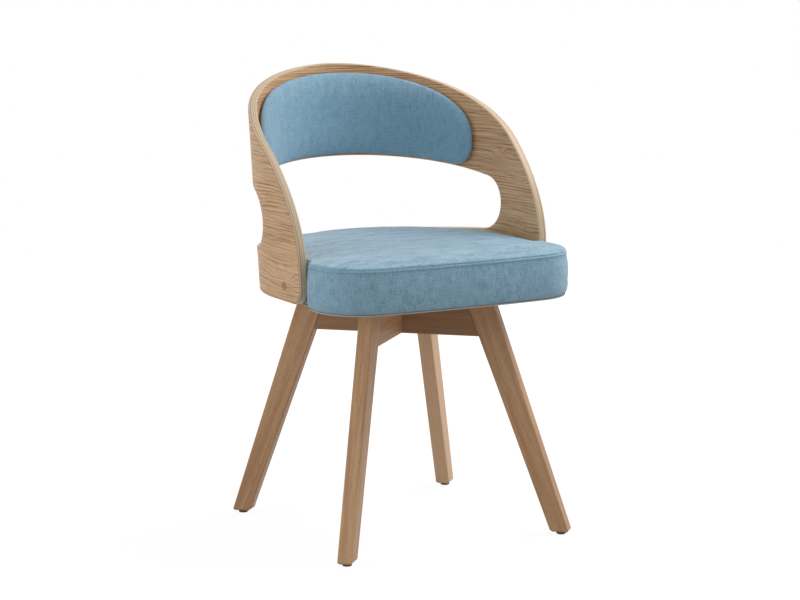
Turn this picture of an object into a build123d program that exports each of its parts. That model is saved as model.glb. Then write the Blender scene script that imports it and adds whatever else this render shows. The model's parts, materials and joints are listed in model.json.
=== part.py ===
from build123d import *
import os
from math import acos, asin, atan2, cos, degrees, hypot, pi, radians, sin, sqrt, tan

# Swivel dining chair: a four-legged beech base, a ball-bearing swivel, and an upholstered
# seat inside a bent plywood shell with an arched outline and a window. Millimetres, +Z up,
# the seat faces -Y. The origin is on the floor under the middle of the chair's footprint.

# ---- base ----
foot_radius = 283.0          # glide centres from the swivel axis, along the diagonals
leg_top_radius = 144.8       # middle of each leg's top from the swivel axis
leg_foot_width = 31.7        # radial width of a leg at its foot
leg_top_width = 47.1
leg_thickness = 25.0
leg_edge_round = 2.5
leg_foot_chamfer = 3.5
glide_height = 4.5
glide_diameter = 16.0
glide_edge = 1.0
nail_diameter = 2.6
nail_length = 20.0
nail_head_diameter = 7.0
nail_head_height = 1.2
nail_head_depth = 1.0        # top of the nail's head below the glide's top
frame_underside = 330.0      # floor to the lower edge of the cross rails
frame_top = 392.0
rail_thickness = 23.0
rail_edge_round = 1.5
lap_clearance = 0.1
dowel_diameter = 10.0
dowel_length = 56.0
dowel_margin = 17.0          # dowel centres from the rail's upper and lower edges
hole_clearance = 0.05        # radial, round parts that are driven or glued in

# ---- swivel ----
swivel_height = 13.8         # rails' top to the seat board
plate_size = 150.0
plate_thickness = 2.5
plate_corner = 12.0
track_radius = 53.0
track_width = 14.0
track_height = 2.2
track_groove = 3.6           # radius of the groove that the balls run in
ball_diameter = 6.35
ball_count = 12
cage_width = 11.0
cage_thickness = 1.6
cage_clearance = 0.03
pivot_diameter = 12.0
pivot_clearance = 0.05
pivot_head_diameter = 16.0
pivot_head_height = 3.0
pivot_head_gap = 0.3
pivot_pocket_gap = 1.5       # pivot head to the pocket bored in the upper rail
plate_hole_spacing = 124.0   # wood screws near the lower plate's corners
screw_diameter = 4.5
screw_head_diameter = 8.6
screw_length = 28.0
bolt_circle_radius = 67.0    # bolts of the upper plate
bolt_diameter = 6.0
bolt_head_diameter = 10.5
bolt_head_height = 3.2
access_hole_diameter = 13.0

# ---- seat ----
shoulder_overhang = 13.6     # cushion's front half beyond its rear half, each side
seat_front = 242.0           # swivel axis to the cushion's front
front_bow = 11.6             # how far the front edge bows forward
front_corner_radius = 85.6
shoulder_radius = 25.0       # cushion flare in front of each arm
arm_gap = 1.5                # arm's front edge to the cushion's shoulder
shell_gap = 0.8              # cushion to the shell's inner face
cushion_height = 71.7        # underside to the top seam
cushion_crown = 9.5
seam_inset = 3.0
foot_inset = 6.0             # how far the band draws in at its lower edge
board_thickness = 12.0
board_inset = 10.0
soft_clearance = 0.3         # upholstery to the wood and metal inside it
panel_thickness = 2.0
panel_inset = 4.0
panel_plate_gap = 5.0        # underside panel to the swivel plates
tee_flange_diameter = 18.0
tee_flange_height = 1.5
tee_barrel_diameter = 7.8
tee_barrel_length = 9.0
cleat_width = 56.0
cleat_depth = 24.0
cleat_height = 34.0
cleat_screw_spacing = 34.0
cleat_screw_length = 32.0

# ---- bent shell ----
shell_thickness = 15.0
shell_inner_radius = 214.2   # inner face at the lower edge
shell_centre_behind = 1.0    # centre of the bend behind the swivel axis, at the lower edge
shell_side_lean = 1.78       # degrees outwards at the sides
shell_back_lean = 4.0        # degrees backwards at the back
shell_lift = 1.2             # shell's lower edge above the cushion's underside
arch_spring_height = 481.4   # where the front edge starts to curve back
arch_rise = 285.4
arm_length = 106.4           # end of the bend to the front edge
arch_fullness = 1.8
arm_corner_radius = 30.0
sheet_level = 564.0          # level at which lengths along the sheet are measured
window_level = 529.5         # centres of the window's round ends
window_end_radius = 46.5
window_to_arm = 22.6         # window's ends to the ends of the bend
window_head_radius = 1302.0
window_sill_radius = 4200.0
sill_lap = 0.06              # lifts the sill's ends just inside the round ends
edge_round = 3.0             # eased edges of the sheet, on both faces
cap_diameter = 13.5
cap_height = 2.4
cap_proud = 0.9
shell_bolt_height = 433.0
side_bolt_ahead = 44.8       # side bolts in front of the swivel axis
rear_bolt_angle = 32.0       # degrees from the middle of the back
shell_bolt_length = 40.0
shell_hole_clearance = 0.3
insert_diameter = 9.8
insert_length = 13.0

# ---- back pad ----
pad_half_length = 259.0
pad_widest_height = 641.0
pad_rise = 110.0
pad_above_window = 8.0
pad_end_radius = 42.0
pad_thickness = 21.0
pad_crown = 4.5
pad_board_thickness = 4.0
pad_board_inset = 10.0
clip_diameter = 8.0
clip_length = 11.0
clip_angles = (-42.0, -15.0, 15.0, 42.0)
clip_height = 665.0

# ---- worked out ----
seat_underside = frame_top + swivel_height
ball_level = frame_top + swivel_height / 2
seam_height = seat_underside + cushion_height
board_top = seat_underside + board_thickness
shell_bottom = seat_underside + shell_lift
rear_half_width = shell_inner_radius - shell_gap
seat_half_width = rear_half_width + shoulder_overhang
side_slope = tan(radians(shell_side_lean))
shift_slope = tan(radians(shell_back_lean)) - side_slope
arch_top = arch_spring_height + arch_rise
leg_angles = {"front_left": 225, "front_right": 315, "rear_right": 45, "rear_left": 135}


def shellRadius(level):
    return shell_inner_radius + side_slope * (level - shell_bottom)


def shellCentre(level):
    return shell_centre_behind + shift_slope * (level - shell_bottom)


sheet_radius = shellRadius(sheet_level)
quarter_length = sheet_radius * pi / 2       # middle of the back to the end of the bend
arch_half_length = quarter_length + arm_length
shell_back = shellCentre(arch_top) + shellRadius(arch_top) + shell_thickness
axis_y = (seat_front - shell_back) / 2      # puts the origin under the footprint's middle


def armFront(level):
    """Front edge of the arms, seen from the side."""
    return shellCentre(level) - arm_length


def sheetPoint(along, level, outward):
    """Point on the bent sheet: along from the middle of the back, outward from the inner face."""
    side = 1 if along >= 0 else -1
    turn = min(abs(along) / sheet_radius, pi / 2)
    ahead = max(abs(along) - quarter_length, 0.0)
    reach = shellRadius(level) + outward
    return Vector(side * reach * sin(turn), shellCentre(level) + reach * cos(turn) - ahead, level)


def sheetSection(along, low, high, inner, outer):
    """Four-cornered section square to the sheet."""
    corners = [sheetPoint(along, low, inner), sheetPoint(along, low, outer),
               sheetPoint(along, high, outer), sheetPoint(along, high, inner)]
    return Face(Wire.make_polygon(corners))


def archHeight(along):
    share = min(abs(along) / arch_half_length, 1.0)
    return arch_spring_height + arch_rise * (1 - share ** arch_fullness) ** (1 / arch_fullness)


def archSlope(along):
    share = along / arch_half_length
    fall = share ** (arch_fullness - 1) * (1 - share ** arch_fullness) ** (1 / arch_fullness - 1)
    return -arch_rise / arch_half_length * fall


# The window's head and sill are slow arcs that meet its round ends without a corner.
window_end = quarter_length - window_to_arm - window_end_radius
head_tilt = asin(window_end / window_head_radius)
head_meet = window_end + window_end_radius * sin(head_tilt)
sill_tilt = asin(window_end / window_sill_radius)
end_shift = shift_slope * window_end_radius * sin(window_end / sheet_radius)   # the sheet leans back
sill_meet = window_end + window_end_radius * sin(sill_tilt) - end_shift


def windowHead(along):
    meeting = window_level + window_end_radius * cos(head_tilt)
    return meeting + (head_meet ** 2 - along ** 2) / (2 * window_head_radius)


def windowSill(along):
    meeting = window_level - window_end_radius * cos(sill_tilt) + sill_lap
    return meeting - (sill_meet ** 2 - along ** 2) / (2 * window_sill_radius)


def ring(outer, inner, low, high):
    tube = Cylinder(outer, high - low, align=(Align.CENTER, Align.CENTER, Align.MIN))
    hole = Cylinder(inner, high - low, align=(Align.CENTER, Align.CENTER, Align.MIN))
    return Pos(0, 0, low) * (tube - hole)


def disc(radius, low, high):
    return Pos(0, 0, low) * Cylinder(radius, high - low, align=(Align.CENTER, Align.CENTER, Align.MIN))


def radialRod(radius, start, end, turn, level, centre=0.0):
    """Round rod lying level, pointing away from the axis at an angle from the back."""
    rod = Cylinder(radius, end - start, align=(Align.CENTER, Align.CENTER, Align.MIN))
    return Pos(0, centre, level) * Rot(0, 0, -turn) * Rot(-90, 0, 0) * Pos(0, 0, start) * rod


# ---- base pieces ----
leg_foot = glide_height


def legFace(level, side):
    """Radius of a leg's inner (-1) or outer (1) face at a level."""
    share = (level - leg_foot) / (frame_top - leg_foot)
    middle = foot_radius + share * (leg_top_radius - foot_radius)
    return middle + side * (leg_foot_width + share * (leg_top_width - leg_foot_width)) / 2


dowel_levels = (frame_underside + dowel_margin, frame_top - dowel_margin)


def makeDowels(extra=0.0):
    rods = []
    for level in dowel_levels:
        middle = legFace(level, -1)
        rod = Cylinder(dowel_diameter / 2 + extra, dowel_length + 2 * extra)
        rods.append(Pos(middle, 0, level) * Rot(0, 90, 0) * rod)
    return rods


def makeNail(extra=0.0):
    head_top = glide_height - nail_head_depth
    head = disc(nail_head_diameter / 2 + extra, head_top - nail_head_height - extra, head_top + extra)
    shank = disc(nail_diameter / 2 + extra, head_top - nail_head_height / 2, glide_height + nail_length + extra)
    return Pos(foot_radius, 0, 0) * (head + shank)


def makeLeg():
    outline = Polyline((legFace(leg_foot, -1), leg_foot), (legFace(leg_foot, 1), leg_foot),
                       (legFace(frame_top, 1), frame_top), (legFace(frame_top, -1), frame_top), close=True)
    leg = extrude(Plane.XZ * make_face(outline), amount=leg_thickness / 2, both=True)
    leg = chamfer(leg.faces().sort_by(Axis.Z)[0].edges(), leg_foot_chamfer)
    long_edges = [e for e in leg.edges() if abs((e @ 1 - e @ 0).Z) > frame_underside]
    leg = fillet(long_edges, leg_edge_round)
    for rod in makeDowels(hole_clearance):
        leg -= rod
    return leg - makeNail(hole_clearance)


def makeRail(notch_on_top):
    low, high = legFace(frame_underside, -1), legFace(frame_top, -1)
    outline = Polyline((-low, frame_underside), (low, frame_underside), (high, frame_top),
                       (-high, frame_top), close=True)
    rail = extrude(Plane.XZ * make_face(outline), amount=rail_thickness / 2, both=True)
    long_edges = [e for e in rail.edges() if abs((e @ 1 - e @ 0).X) > high]
    rail = fillet(long_edges, rail_edge_round)
    middle = (frame_underside + frame_top) / 2
    slot = rail_thickness + 2 * lap_clearance
    depth = frame_top - middle + lap_clearance
    level = frame_top - depth / 2 if notch_on_top else frame_underside + depth / 2
    rail -= Pos(0, 0, level) * Box(slot, 2 * rail_thickness, depth)
    for rod in makeDowels(hole_clearance):
        rail -= rod
        rail -= Rot(0, 0, 180) * rod
    rail -= disc(pivot_head_diameter / 2 + pivot_pocket_gap,
                 frame_top - pivot_head_gap - pivot_head_height - pivot_pocket_gap, frame_top)
    for side in (-1, 1):
        rail -= Pos(side * plate_hole_spacing / sqrt(2), 0, 0) * makeScrew(hole_clearance)
    return rail


def makeGlide():
    pad = disc(glide_diameter / 2, 0, glide_height)
    pad = chamfer(pad.edges().sort_by(Axis.Z)[0], glide_edge)
    return Pos(foot_radius, 0, 0) * pad - makeNail(hole_clearance)


# ---- swivel pieces ----
def makeScrew(extra=0.0):
    """Countersunk screw driven down through the lower plate."""
    top = frame_top + plate_thickness
    depth = (screw_head_diameter - screw_diameter) / 2
    shank = disc(screw_diameter / 2 + extra, top - screw_length - extra, top - depth / 2)
    head = Pos(0, 0, top - depth / 2) * Cone(screw_diameter / 2 + extra, screw_head_diameter / 2 + extra, depth)
    return shank + head


def makePlate(low, track_up):
    blank = extrude(RectangleRounded(plate_size, plate_size, plate_corner), amount=plate_thickness)
    plate = Pos(0, 0, low) * blank
    base = low + plate_thickness if track_up else low - track_height
    track = ring(track_radius + track_width / 2, track_radius - track_width / 2, base, base + track_height)
    plate += track
    return plate - Pos(0, 0, ball_level) * Torus(track_radius, track_groove)


def makeLowerPlate():
    plate = makePlate(frame_top, True)
    plate -= disc(pivot_diameter / 2 + pivot_clearance, frame_underside, seat_underside)
    corner = plate_hole_spacing / 2
    for x, y in ((corner, corner), (-corner, corner), (corner, -corner), (-corner, -corner)):
        plate -= Pos(x, y, 0) * makeScrew(hole_clearance)
    hole = disc(access_hole_diameter / 2, frame_underside, seat_underside)
    return plate - Pos(bolt_circle_radius, 0, 0) * hole


def makePlateBolt(extra=0.0):
    """Button-head bolt driven up through the upper plate into a tee nut."""
    under = seat_underside - plate_thickness
    head = disc(bolt_head_diameter / 2 + extra, under - bolt_head_height, under)
    shank = disc(bolt_diameter / 2 + extra, under, board_top + extra)
    return Pos(bolt_circle_radius, 0, 0) * (head + shank)


def makeUpperPlate():
    plate = makePlate(seat_underside - plate_thickness, False)
    plate -= disc(pivot_diameter / 2 + hole_clearance, ball_level, board_top)
    for turn in range(0, 360, 90):
        plate -= Rot(0, 0, turn) * makePlateBolt(hole_clearance)
    return plate


def makePivot():
    head_top = frame_top - pivot_head_gap
    head = disc(pivot_head_diameter / 2, head_top - pivot_head_height, head_top)
    return head + disc(pivot_diameter / 2, head_top, seat_underside)


def makeBall():
    return Pos(track_radius, 0, ball_level) * Sphere(ball_diameter / 2)


def makeCage():
    half = cage_thickness / 2
    cage = ring(track_radius + cage_width / 2, track_radius - cage_width / 2, ball_level - half, ball_level + half)
    for index in range(ball_count):
        hole = Pos(track_radius, 0, ball_level) * Cylinder(ball_diameter / 2 + cage_clearance, 2 * cage_thickness)
        cage -= Rot(0, 0, index * 360 / ball_count) * hole
    return cage


def makeTeeNut(extra=0.0):
    flange = disc(tee_flange_diameter / 2 + extra, board_top, board_top + tee_flange_height + extra)
    barrel = disc(tee_barrel_diameter / 2 + extra, board_top - tee_barrel_length, board_top)
    return Pos(bolt_circle_radius, 0, 0) * (flange + barrel)


def makeThreadedTeeNut():
    bore = disc(bolt_diameter / 2 + hole_clearance, seat_underside, board_top + 2 * tee_flange_height)
    return makeTeeNut() - Pos(bolt_circle_radius, 0, 0) * bore


# ---- seat ----
def seatOutline(inset, level):
    """Plan of the upholstery: bowed front, large corners, a flare ahead of each arm, round back."""
    front, half, rear = seat_front - inset, seat_half_width - inset, rear_half_width - inset
    corner = front_corner_radius - inset
    bow_radius = (seat_half_width ** 2 + front_bow ** 2) / (2 * front_bow) - inset
    bow_centre = bow_radius - front
    corner_x = half - corner
    corner_y = bow_centre - sqrt((bow_radius - corner) ** 2 - corner_x ** 2)
    turn = atan2(corner_y - bow_centre, corner_x)
    front_end = (bow_radius * cos(turn), bow_centre + bow_radius * sin(turn))
    corner_mid = (corner_x + corner * cos(turn / 2), corner_y + corner * sin(turn / 2))
    flare = shoulder_radius - inset
    flare_x = seat_half_width - shoulder_radius
    flare_turn = acos((rear - flare_x) / flare)
    full_turn = acos((rear_half_width - flare_x) / shoulder_radius)
    flare_y = armFront(shell_bottom) - arm_gap - shoulder_radius * sin(full_turn)
    flare_mid = (flare_x + flare * cos(flare_turn / 2), flare_y + flare * sin(flare_turn / 2))
    flare_end = (rear, flare_y + flare * sin(flare_turn))

    def mirrored(point):
        return (-point[0], point[1])

    right = [ThreePointArc(front_end, corner_mid, (half, corner_y)),
             Line((half, corner_y), (half, flare_y)),
             ThreePointArc((half, flare_y), flare_mid, flare_end),
             Line(flare_end, (rear, shell_centre_behind))]
    back = ThreePointArc((rear, shell_centre_behind), (0, shell_centre_behind + rear), (-rear, shell_centre_behind))
    left = [Line((-rear, shell_centre_behind), mirrored(flare_end)),
            ThreePointArc(mirrored(flare_end), mirrored(flare_mid), (-half, flare_y)),
            Line((-half, flare_y), (-half, corner_y)),
            ThreePointArc((-half, corner_y), mirrored(corner_mid), mirrored(front_end))]
    nose = ThreePointArc(mirrored(front_end), (0, -front), front_end)
    return Pos(0, 0, level) * Wire(right + [back] + left + [nose])


def seatSlab(inset, low, high):
    return extrude(Face(seatOutline(inset, low)), amount=high - low, dir=(0, 0, 1))


def makeCleatAt(turn, centre, extra=0.0):
    """Block on the board behind the shell, its outer face flush with the board's edge."""
    reach = rear_half_width - board_inset
    block = Box(cleat_width + 2 * extra, cleat_depth + 2 * extra, cleat_height + extra,
                align=(Align.CENTER, Align.CENTER, Align.MIN))
    return Pos(0, centre, board_top) * Rot(0, 0, -turn) * Pos(0, reach - cleat_depth / 2, 0) * block


cleat_places = {"cleat_right": (90.0, -side_bolt_ahead), "cleat_left": (-90.0, -side_bolt_ahead),
                "cleat_rear_right": (rear_bolt_angle, shellCentre(shell_bolt_height)),
                "cleat_rear_left": (-rear_bolt_angle, shellCentre(shell_bolt_height))}


def atCleat(place, outward):
    """Frame at a shell bolt, its Z axis pointing outwards from the shell's inner face."""
    turn, centre = place
    reach = shellRadius(shell_bolt_height) + outward
    return Pos(0, centre, shell_bolt_height) * Rot(0, 0, -turn) * Pos(0, reach, 0) * Rot(-90, 0, 0)


def shellBolt(place, extra=0.0):
    head_under = shell_thickness - (cap_height - cap_proud)
    rod = Cylinder(bolt_diameter / 2 + extra, shell_bolt_length, align=(Align.CENTER, Align.CENTER, Align.MAX))
    return atCleat(place, head_under) * rod


def boltCap(place, extra=0.0):
    cap = Cylinder(cap_diameter / 2 + extra, cap_height, align=(Align.CENTER, Align.CENTER, Align.MIN))
    if not extra:
        cap = fillet(cap.edges().sort_by(Axis.Z)[-1], cap_height / 3)
    return atCleat(place, shell_thickness - (cap_height - cap_proud)) * cap


def insertNut(place, extra=0.0):
    outward = -(shellRadius(shell_bolt_height) - rear_half_width + board_inset)
    barrel = Cylinder(insert_diameter / 2 + extra, insert_length, align=(Align.CENTER, Align.CENTER, Align.MAX))
    return atCleat(place, outward) * barrel


def cleatScrews(place, extra=0.0):
    """Two countersunk screws up through the board into a cleat."""
    turn, centre = place
    reach = rear_half_width - board_inset - cleat_depth / 2
    depth = (screw_head_diameter - screw_diameter) / 2
    head = Pos(0, 0, seat_underside + depth / 2) * Cone(screw_head_diameter / 2 + extra, screw_diameter / 2 + extra, depth)
    screw = head + disc(screw_diameter / 2 + extra, seat_underside + depth, seat_underside + cleat_screw_length + extra)
    return [Pos(0, centre, 0) * Rot(0, 0, -turn) * Pos(side * cleat_screw_spacing / 2, reach, 0) * screw
            for side in (-1, 1)]


def makeCleat(place):
    cleat = makeCleatAt(*place)
    cleat -= insertNut(place, hole_clearance)
    cleat -= shellBolt(place, shell_hole_clearance)
    for screw in cleatScrews(place, hole_clearance):
        cleat -= screw
    return cleat


def makeBoard():
    board = seatSlab(board_inset, seat_underside, board_top)
    for turn in range(0, 360, 90):
        board -= Rot(0, 0, turn) * makeTeeNut(hole_clearance)
        board -= Rot(0, 0, turn) * makePlateBolt(shell_hole_clearance)
    for place in cleat_places.values():
        for screw in cleatScrews(place, hole_clearance):
            board -= screw
    return board


def makePanel():
    panel = seatSlab(panel_inset, seat_underside - panel_thickness, seat_underside)
    opening = plate_size + 2 * panel_plate_gap
    return panel - Pos(0, 0, seat_underside) * Box(opening, opening, 4 * panel_thickness)


def makeCushion():
    """Boxing band that draws in at its foot and its seam, under a crowned top."""
    levels = [(foot_inset, seat_underside), (foot_inset * 0.45, seat_underside + foot_inset * 0.35),
              (foot_inset * 0.12, seat_underside + foot_inset), (0.0, seat_underside + foot_inset * 2.2),
              (0.0, seat_underside + cushion_height * 0.55), (seam_inset * 0.35, seat_underside + cushion_height * 0.8),
              (seam_inset, seam_height)]
    band = Solid.make_loft([seatOutline(inset, level) for inset, level in levels], ruled=True)
    seam = seatOutline(seam_inset, seam_height)
    middle = (shell_centre_behind + rear_half_width - seat_front) / 2
    peaks = [Vector(0, middle, seam_height + cushion_crown)]
    for x, y in ((0.5, 0), (-0.5, 0), (0, 0.5), (0, -0.5)):
        peaks.append(Vector(x * seat_half_width, middle + y * seat_front, seam_height + 0.82 * cushion_crown))
    crown = Face.make_surface(seam.edges(), surface_points=peaks)
    sides = band.faces().sort_by(Axis.Z)[:-1]
    cushion = Solid(Shell(sides + [crown]))
    cushion -= seatSlab(board_inset - soft_clearance, seat_underside, board_top + soft_clearance)
    for turn in range(0, 360, 90):
        cushion -= Rot(0, 0, turn) * makeTeeNut(soft_clearance)
    for place in cleat_places.values():
        cushion -= makeCleatAt(*place, soft_clearance)
        cushion -= shellBolt(place, soft_clearance)
    return cushion


# ---- shell ----
def planBand(level):
    """U-shaped plan of the sheet: half round at the back, straight parallel arms."""
    inner, outer, centre = shellRadius(level), shellRadius(level) + shell_thickness, shellCentre(level)
    front = centre - arm_length - 3 * arm_corner_radius
    lines = [ThreePointArc((outer, centre), (0, centre + outer), (-outer, centre)),
             Line((-outer, centre), (-outer, front)), Line((-outer, front), (-inner, front)),
             Line((-inner, front), (-inner, centre)),
             ThreePointArc((-inner, centre), (0, centre + inner), (inner, centre)),
             Line((inner, centre), (inner, front)), Line((inner, front), (outer, front)),
             Line((outer, front), (outer, centre))]
    return Pos(0, 0, level) * Wire(lines)


def bendWall(bottom):
    return Solid.make_loft([planBand(bottom), planBand(arch_top + shell_thickness)], ruled=True)


def bendSheet():
    """The bent sheet inside its arched outline."""
    clear = 2 * shell_thickness
    turns = [-90 + 15 * step for step in range(13)]
    arcs = [radians(turn) * sheet_radius for turn in turns]
    back = Solid.make_loft([sheetSection(s, shell_bottom - clear, archHeight(s), -clear, 2 * clear).outer_wire()
                            for s in arcs])

    # Arms: the side view from the end of the bend to the front edge.
    def side(along, level):
        return (shellCentre(level) - (along - quarter_length), level)

    steps = 9
    stations = [quarter_length + arm_length * sin(pi / 2 * step / steps) for step in range(steps + 1)]
    curve = [side(along, archHeight(along)) for along in stations]
    slope = archSlope(quarter_length)
    arch = Spline(curve, tangents=((-1 + shift_slope * slope, slope), (-shift_slope, -1)))
    foot = side(arch_half_length, shell_bottom + arm_corner_radius)
    toe = (foot[0] + arm_corner_radius, shell_bottom)
    bend = arm_corner_radius * (1 - cos(pi / 4))
    corner = ThreePointArc(foot, (foot[0] + bend, shell_bottom + bend), toe)
    heel = side(quarter_length, shell_bottom)
    profile = [arch, Line(curve[-1], foot), corner, Line(toe, heel), Line(heel, curve[0])]
    arms = extrude(Plane.YZ * make_face(profile), amount=2 * sheet_radius, both=True)
    return (bendWall(shell_bottom) & back) + (bendWall(shell_bottom - clear) & arms)


def cutWindow(sheet):
    """Window with a bowed head, a slightly dipped sill and round ends, cut square to the sheet."""
    clear = 2 * shell_thickness
    pieces = 8
    shares = [2 * step / pieces - 1 for step in range(pieces + 1)]
    upper = [sheetSection(head_meet * share, window_level - edge_round, windowHead(head_meet * share),
                          -clear, 2 * clear).outer_wire() for share in shares]
    lower = [sheetSection(sill_meet * share, windowSill(sill_meet * share), window_level + edge_round,
                          -clear, 2 * clear).outer_wire() for share in shares]
    sheet -= Solid.make_loft(lower)
    sheet -= Solid.make_loft(upper)
    for turn in (-window_end / sheet_radius, window_end / sheet_radius):
        sheet -= radialRod(window_end_radius, shellRadius(window_level) - clear,
                           shellRadius(window_level) + 2 * clear, degrees(turn), window_level,
                           shellCentre(window_level))
    return sheet


def rimEdges(sheet, outward, of_window):
    """Sawn edges on one face of the sheet, round the window or along the outline."""
    chosen = []
    for edge in sheet.edges():
        middle = edge @ 0.5
        behind = middle.Y - shellCentre(middle.Z)
        reach = hypot(middle.X, behind) if behind > 0 else abs(middle.X)
        on_face = abs(reach - shellRadius(middle.Z) - outward) < edge_round / 3
        bend_line = abs(behind) < edge_round and abs(edge.tangent_at(0.5).X) < side_slope * 2
        long_upright = edge.length > shell_bolt_height / 2
        in_window = windowSill(0) - edge_round < middle.Z < windowHead(0) + edge_round and behind > edge_round
        if on_face and not (bend_line and long_upright) and in_window == of_window:
            chosen.append(edge)
    return chosen


def roundEdges(sheet):
    for outward in (shell_thickness, 0):
        for of_window in (True, False):
            sheet = fillet(rimEdges(sheet, outward, of_window), edge_round)
    return sheet


def boreShell(sheet):
    for place in cleat_places.values():
        sheet -= shellBolt(place, shell_hole_clearance)
        sheet -= boltCap(place, hole_clearance)
    for angle in clip_angles:
        sheet -= padClip(angle, hole_clearance)
    return sheet


# ---- back pad ----
def padTop(along):
    share = min(abs(along) / pad_half_length, 1.0)
    return pad_widest_height + pad_rise * sqrt(1 - share ** 2)


def padBottom(along):
    line = windowHead(along) + pad_above_window
    into = abs(along) - (pad_half_length - pad_end_radius)
    if into > 0:
        line += pad_end_radius - sqrt(pad_end_radius ** 2 - min(into, pad_end_radius) ** 2)
    return line


pad_stations = [share * pad_half_length for share in (0, 0.22, 0.44, 0.63, 0.78, 0.89, 0.96)]
pad_stations = [-s for s in reversed(pad_stations[1:])] + pad_stations


def makePad():
    """Crescent pad that follows the sheet: crowned front, sides rolled back to its board."""
    sections = []
    for along in pad_stations:
        low, high = padBottom(along), padTop(along)
        rear = -(soft_clearance + pad_board_thickness + soft_clearance)
        roll = min(5.0, (high - low) / 8)
        front = -(pad_thickness - pad_crown)
        fade = sqrt(1 - (along / pad_half_length) ** 2)
        crown = -(pad_thickness - pad_crown * (1 - fade))

        def at(level, outward):
            return sheetPoint(along, level, outward)

        middle = (rear + front) / 2
        sections.append(Wire([
            Edge.make_line(at(low + roll, rear), at(high - roll, rear)),
            Edge.make_three_point_arc(at(high - roll, rear), at(high, middle), at(high - roll, front)),
            Edge.make_three_point_arc(at(high - roll, front), at((low + high) / 2, crown), at(low + roll, front)),
            Edge.make_three_point_arc(at(low + roll, front), at(low, middle), at(low + roll, rear))]))
    return Solid.make_loft(sections)


def makePadBoard():
    sections = []
    for along in pad_stations:
        near = along * (pad_half_length - pad_board_inset) / pad_half_length
        low, high = padBottom(along) + pad_board_inset, padTop(along) - pad_board_inset
        if high - low < 8:
            low, high = (low + high) / 2 - 4, (low + high) / 2 + 4
        sections.append(sheetSection(near, low, high, -soft_clearance - pad_board_thickness,
                                     -soft_clearance).outer_wire())
    board = Solid.make_loft(sections)
    for angle in clip_angles:
        board -= padClip(angle, hole_clearance)
    return board


def padClip(angle, extra=0.0):
    reach = shellRadius(clip_height) - soft_clearance - pad_board_thickness
    return radialRod(clip_diameter / 2 + extra, reach, reach + clip_length + extra, angle, clip_height,
                     shellCentre(clip_height))


# ---- the chair ----
def together(pieces):
    return Compound([piece.solid() for piece in pieces])


chair = {}
for name, angle in leg_angles.items():
    chair["leg_" + name] = Rot(0, 0, angle) * makeLeg()
chair["rail_lower"] = Rot(0, 0, leg_angles["front_left"]) * makeRail(True)
chair["rail_upper"] = Rot(0, 0, leg_angles["front_right"]) * makeRail(False)
corners = leg_angles.values()
chair["rail_dowels"] = together([Rot(0, 0, angle) * rod for angle in corners for rod in makeDowels()])
chair["glides"] = together([Rot(0, 0, angle) * makeGlide() for angle in corners])
chair["glide_nails"] = together([Rot(0, 0, angle) * makeNail() for angle in corners])
chair["lower_plate"] = makeLowerPlate()
chair["lower_plate_screws"] = together([Rot(0, 0, angle) * Pos(plate_hole_spacing / sqrt(2), 0, 0) * makeScrew()
                                        for angle in corners])
chair["ball_cage"] = makeCage()
chair["balls"] = together([Rot(0, 0, index * 360 / ball_count) * makeBall() for index in range(ball_count)])
chair["upper_plate"] = makeUpperPlate()
chair["pivot_rivet"] = makePivot()
quarters = range(0, 360, 90)
chair["upper_plate_bolts"] = together([Rot(0, 0, turn) * makePlateBolt() for turn in quarters])
chair["tee_nuts"] = together([Rot(0, 0, turn) * makeThreadedTeeNut() for turn in quarters])
chair["seat_board"] = makeBoard()
for name, place in cleat_places.items():
    chair[name] = makeCleat(place)
places = cleat_places.values()
chair["cleat_screws"] = together([screw for place in places for screw in cleatScrews(place)])
chair["seat_cushion"] = makeCushion()
chair["underside_panel"] = makePanel()
chair["bent_shell"] = boreShell(roundEdges(cutWindow(bendSheet())))
chair["shell_bolts"] = together([shellBolt(place) for place in places])
chair["bolt_caps"] = together([boltCap(place) for place in places])
chair["insert_nuts"] = together([insertNut(place) - shellBolt(place, hole_clearance) for place in places])
chair["back_pad"] = makePad()
chair["back_pad_board"] = makePadBoard()
chair["pad_clips"] = together([padClip(angle) for angle in clip_angles])

os.makedirs("parts", exist_ok=True)
for name, piece in chair.items():
    export_step(Pos(0, axis_y, 0) * piece, os.path.join("parts", name + ".step"))
    print(name, round(piece.volume))
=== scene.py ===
# Swivel dining chair: upholstery, stitching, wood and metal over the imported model.
import json
import math

import bpy
import numpy as np
from mathutils import Matrix, Vector


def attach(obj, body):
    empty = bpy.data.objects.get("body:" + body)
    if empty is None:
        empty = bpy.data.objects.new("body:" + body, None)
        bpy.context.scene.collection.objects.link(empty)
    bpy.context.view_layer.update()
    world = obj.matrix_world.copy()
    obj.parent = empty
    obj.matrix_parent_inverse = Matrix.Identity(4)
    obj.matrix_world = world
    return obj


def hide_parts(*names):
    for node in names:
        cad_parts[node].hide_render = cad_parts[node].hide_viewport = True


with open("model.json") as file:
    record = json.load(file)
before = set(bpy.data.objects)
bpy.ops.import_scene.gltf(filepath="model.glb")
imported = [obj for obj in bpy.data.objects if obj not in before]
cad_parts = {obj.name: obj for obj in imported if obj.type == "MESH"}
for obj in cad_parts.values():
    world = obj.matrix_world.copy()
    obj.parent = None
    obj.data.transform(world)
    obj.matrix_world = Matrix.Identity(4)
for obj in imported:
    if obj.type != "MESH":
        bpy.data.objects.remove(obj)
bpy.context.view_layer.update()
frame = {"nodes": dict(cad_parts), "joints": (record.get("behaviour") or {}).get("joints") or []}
nodes = frame["nodes"]
swivelY = frame["joints"][0]["pos_m"][1]
print("frame loaded:", len(nodes), "nodes")


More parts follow.
